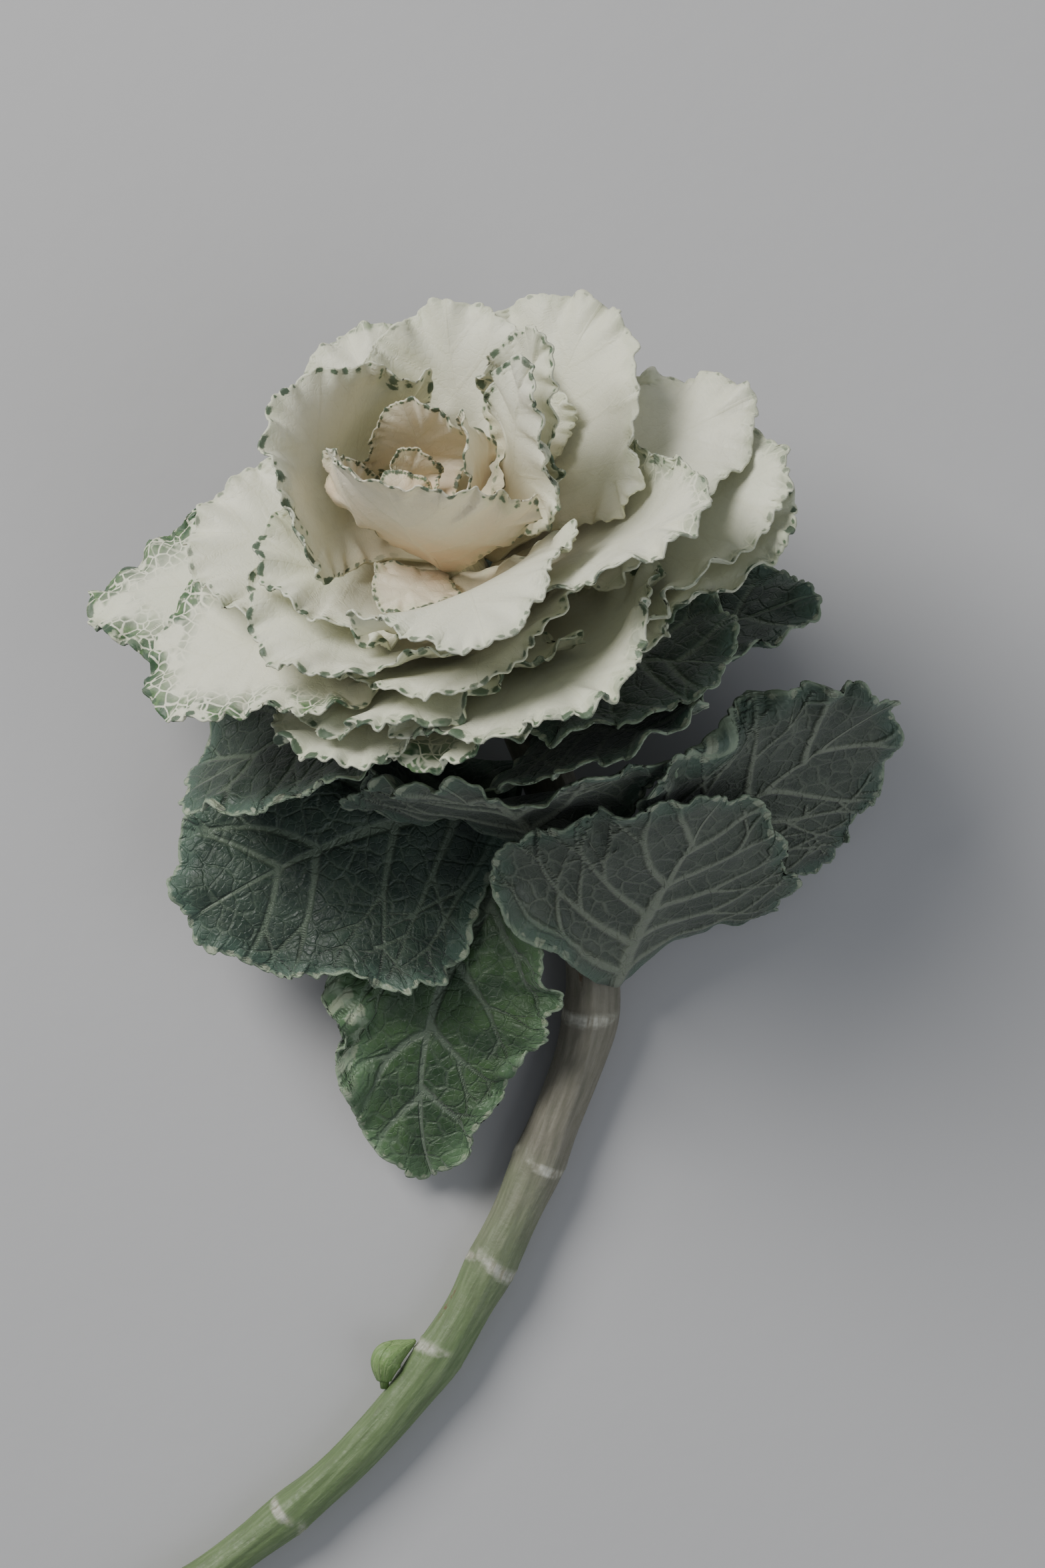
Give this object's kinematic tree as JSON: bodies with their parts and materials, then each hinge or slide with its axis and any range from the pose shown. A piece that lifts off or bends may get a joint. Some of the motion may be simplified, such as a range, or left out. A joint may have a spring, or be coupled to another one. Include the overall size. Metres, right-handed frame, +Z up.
{
  "type": "cut ornamental cabbage stem",
  "caption": "Cut stem of ornamental cabbage lying on its side: a rosette of frilled white leaves round a cream heart, looser veined green leaves below it, and a bent bare stem.",
  "frame": {"origin": "centre of the box's footprint, on the surface it lies on", "axes": "+Y from the cut end of the stem towards the head, +Z up from the surface it lies on"},
  "size_m": [0.1398, 0.2296, 0.0895],
  "materials": {
    "stem": "smooth waxy skin, grey-green above and pale green below, with whitish leaf scars",
    "bud": "smooth, satin",
    "heart_leaf": "matt cream leaf, tan in its folds, with fine green margin spots",
    "white_leaf": "matt white leaf with a crimped margin and green spots",
    "edged_leaf": "matt white leaf with green blotches and a green frilled margin",
    "green_leaf": "matt dark green leaf with pale veins and a pale serrated margin"
  },
  "bodies": {
    "root": {"stem": "stem", "side_bud": "bud", "heart_leaf_1": "heart_leaf", "heart_leaf_2": "heart_leaf", "heart_leaf_3": "heart_leaf", "heart_leaf_4": "heart_leaf", "heart_leaf_5": "heart_leaf", "heart_leaf_6": "heart_leaf", "heart_leaf_7": "heart_leaf", "heart_leaf_8": "heart_leaf", "white_leaf_1": "white_leaf", "white_leaf_2": "white_leaf", "white_leaf_3": "white_leaf", "white_leaf_4": "white_leaf", "white_leaf_5": "white_leaf", "white_leaf_6": "white_leaf", "white_leaf_7": "white_leaf", "white_leaf_8": "white_leaf", "white_leaf_9": "white_leaf", "white_leaf_10": "white_leaf", "white_leaf_11": "white_leaf", "white_leaf_12": "white_leaf", "white_leaf_13": "white_leaf", "white_leaf_14": "white_leaf", "edged_leaf_1": "edged_leaf", "edged_leaf_2": "edged_leaf", "edged_leaf_3": "edged_leaf", "edged_leaf_4": "edged_leaf", "edged_leaf_5": "edged_leaf", "edged_leaf_6": "edged_leaf", "edged_leaf_7": "edged_leaf", "green_leaf_1": "green_leaf", "green_leaf_2": "green_leaf", "green_leaf_3": "green_leaf", "green_leaf_4": "green_leaf", "green_leaf_5": "green_leaf", "green_leaf_6": "green_leaf", "green_leaf_7": "green_leaf", "green_leaf_8": "green_leaf", "green_leaf_9": "green_leaf", "green_leaf_10": "green_leaf", "green_leaf_11": "green_leaf", "green_leaf_12": "green_leaf"}
  },
  "joints": []
}
